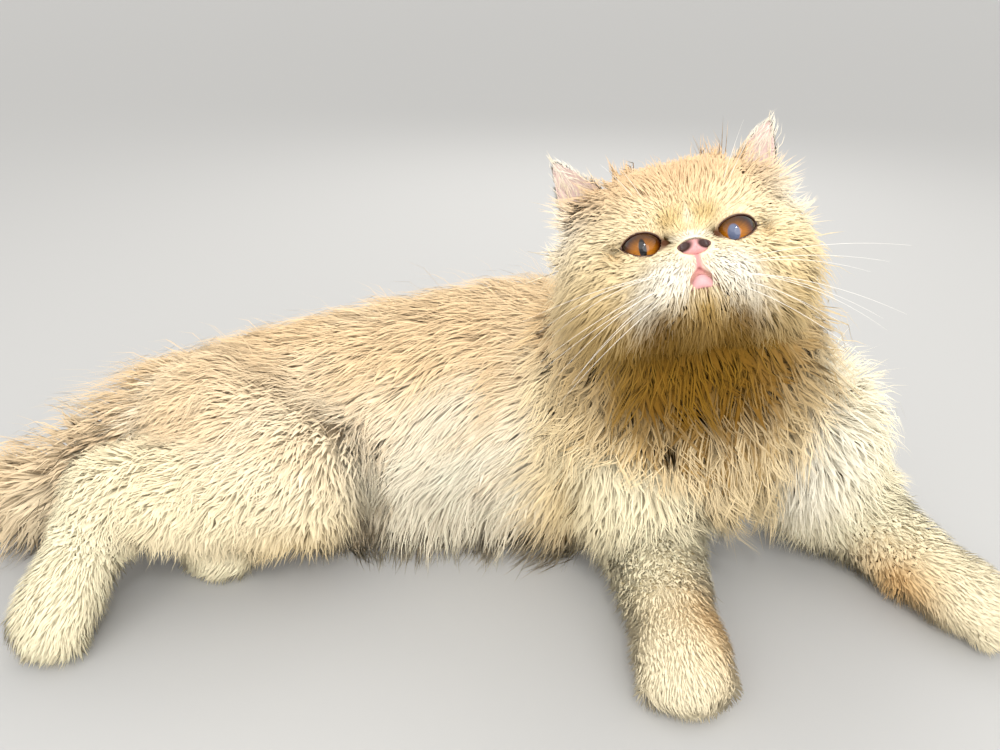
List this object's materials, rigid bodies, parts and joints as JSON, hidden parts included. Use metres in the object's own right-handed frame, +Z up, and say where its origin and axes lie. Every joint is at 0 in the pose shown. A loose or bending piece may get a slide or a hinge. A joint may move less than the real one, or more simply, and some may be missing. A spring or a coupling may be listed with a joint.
{
  "type": "persian cat",
  "caption": "Life-size longhaired flat-faced cat lying on its chest, hips rolled to one side, forelegs stretched out, face lifted; still display model.",
  "frame": {"origin": "on the floor, under the middle of the whole model's box", "axes": "+X from the rump to the chest, +Z up, the face looks towards -Y"},
  "size_m": [0.7452, 0.3146, 0.3004],
  "materials": {
    "cream_coat": "long soft apricot cream hair over skin",
    "pale_coat": "soft creamy white hair over skin, stained yellow brown at the throat and forepaws",
    "nose_leather": "moist pink, finely pebbled",
    "eye": "wet, clear cornea over a copper amber iris"
  },
  "bodies": {
    "root": {"trunk": "cream_coat", "head": "cream_coat", "lower_jaw": "cream_coat", "ear_right": "cream_coat", "ear_left": "cream_coat", "thigh_right": "cream_coat", "shank_right": "cream_coat", "shank_left": "cream_coat", "tail_root": "cream_coat", "tail_end": "cream_coat", "neck": "pale_coat", "foreleg_right": "pale_coat", "foreleg_left": "pale_coat", "forepaw_right": "pale_coat", "forepaw_left": "pale_coat", "hind_foot_right": "pale_coat", "hind_foot_left": "pale_coat", "nose": "nose_leather", "eye_right": "eye", "eye_left": "eye"}
  },
  "joints": []
}
